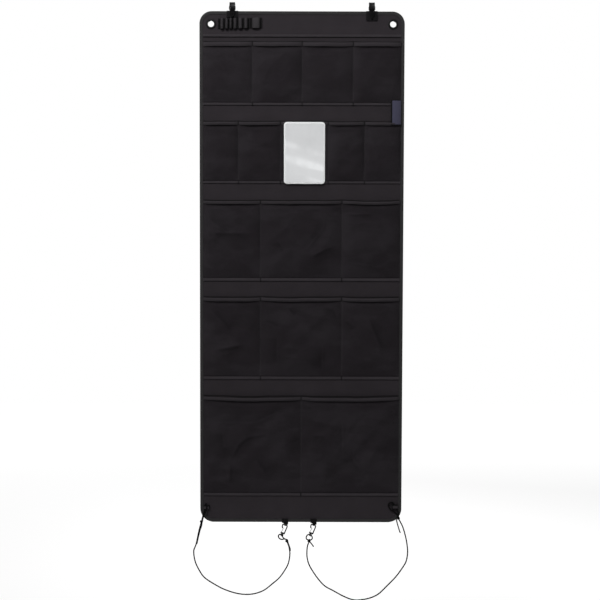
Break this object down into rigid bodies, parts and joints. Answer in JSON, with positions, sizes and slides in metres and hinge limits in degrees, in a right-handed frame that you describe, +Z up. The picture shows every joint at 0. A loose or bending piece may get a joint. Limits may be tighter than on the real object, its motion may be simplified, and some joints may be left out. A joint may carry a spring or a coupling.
{
  "type": "hanging tent organizer",
  "caption": "Fabric wall organizer that hangs on a tent pole: rows of mesh pockets, tool loops, a mirror, hooks, eyelets and elastic cords with snap clips.",
  "frame": {"origin": "midway between the two hanging hooks, at the underside of their crowns, where the pole they hang on touches them", "axes": "+Z up, -Y towards the front with the pockets, +X to the right seen from the front"},
  "size_m": [0.5324, 0.0356, 1.4687],
  "materials": {
    "panel_cloth": "matte woven polyester",
    "pocket_mesh": "matte fine mesh",
    "hem_tape": "matte woven tape",
    "binding_tape": "matte ribbed tape",
    "black_webbing": "matte ribbed webbing",
    "elastic_webbing": "matte ribbed elastic",
    "hook_plastic": "satin moulded plastic",
    "black_metal": "satin black paint",
    "bright_wire": "bright wire",
    "mirror_glass": "mirror",
    "label_cloth": "matte woven label",
    "elastic_cord": "matte braided cord"
  },
  "bodies": {
    "organizer": {"backing_panel": "panel_cloth", "edge_binding": "binding_tape", "header_tape": "hem_tape", "tool_loop_elastic": "elastic_webbing", "row1_pocket_sheet": "pocket_mesh", "row1_hem": "hem_tape", "row1_bottom_tape": "hem_tape", "row2_pocket_sheet": "pocket_mesh", "row2_hem": "hem_tape", "row2_bottom_tape": "hem_tape", "row3_pocket_sheet": "pocket_mesh", "row3_hem": "hem_tape", "row3_bottom_tape": "hem_tape", "row4_pocket_sheet": "pocket_mesh", "row4_hem": "hem_tape", "row4_bottom_tape": "hem_tape", "row5_pocket_sheet": "pocket_mesh", "row5_hem": "hem_tape", "row5_bottom_tape": "hem_tape", "mirror_loop_tape_upper": "black_webbing", "mirror_loop_tape_lower": "black_webbing", "side_label": "label_cloth", "eyelet_left": "black_metal", "eyelet_left_washer": "black_metal", "hook_left_patch": "black_webbing", "hook_left_tab": "black_webbing", "clip_left_tab": "black_webbing", "corner_loop_left": "black_webbing", "cord_left": "elastic_cord", "cord_left_corner_knot": "elastic_cord", "eyelet_right": "black_metal", "eyelet_right_washer": "black_metal", "hook_right_patch": "black_webbing", "hook_right_tab": "black_webbing", "clip_right_tab": "black_webbing", "corner_loop_right": "black_webbing", "cord_right": "elastic_cord", "cord_right_corner_knot": "elastic_cord"},
    "hook_left": {"hanging_hook_left": "hook_plastic"},
    "clip_left": {"clip_left_body": "black_metal", "cord_left_clip_knot": "elastic_cord"},
    "gate_left": {"clip_left_gate": "bright_wire"},
    "hook_right": {"hanging_hook_right": "hook_plastic"},
    "clip_right": {"clip_right_body": "black_metal", "cord_right_clip_knot": "elastic_cord"},
    "gate_right": {"clip_right_gate": "bright_wire"},
    "mirror": {"mirror_plate": "mirror_glass", "mirror_hook_tape_upper": "black_webbing", "mirror_hook_tape_lower": "black_webbing"}
  },
  "joints": [
    {"name": "hook_left_tilt", "type": "hinge", "parent": "organizer", "child": "hook_left", "pos_m": [-0.169, -0.00975, -0.0128], "axis": [1, 0, 0], "range_deg": [-45, 85]},
    {"name": "hook_right_tilt", "type": "hinge", "parent": "organizer", "child": "hook_right", "pos_m": [0.169, -0.00975, -0.0128], "axis": [1, 0, 0], "range_deg": [-45, 85]},
    {"name": "clip_left_swing", "type": "hinge", "parent": "organizer", "child": "clip_left", "pos_m": [-0.039, -0.00865, -1.2757], "axis": [0.9511, 0, -0.309], "range_deg": [-75, 75]},
    {"name": "clip_right_swing", "type": "hinge", "parent": "organizer", "child": "clip_right", "pos_m": [0.0315, -0.00865, -1.2757], "axis": [0.9511, 0, -0.309], "range_deg": [-75, 75]},
    {"name": "gate_left_open", "type": "hinge", "parent": "clip_left", "child": "gate_left", "pos_m": [-0.0485, -0.00865, -1.2952], "axis": [0, 1, 0], "range_deg": [0, 22], "stiffness_Nm_per_rad": 0.0005, "springref_deg": -11.46},
    {"name": "gate_right_open", "type": "hinge", "parent": "clip_right", "child": "gate_right", "pos_m": [0.022, -0.00865, -1.2952], "axis": [0, 1, 0], "range_deg": [0, 22], "stiffness_Nm_per_rad": 0.0005, "springref_deg": -11.46},
    {"name": "mirror_lift_off", "type": "slide", "parent": "organizer", "child": "mirror", "axis": [0, -1, 0], "range_m": [0, 0.05]}
  ]
}
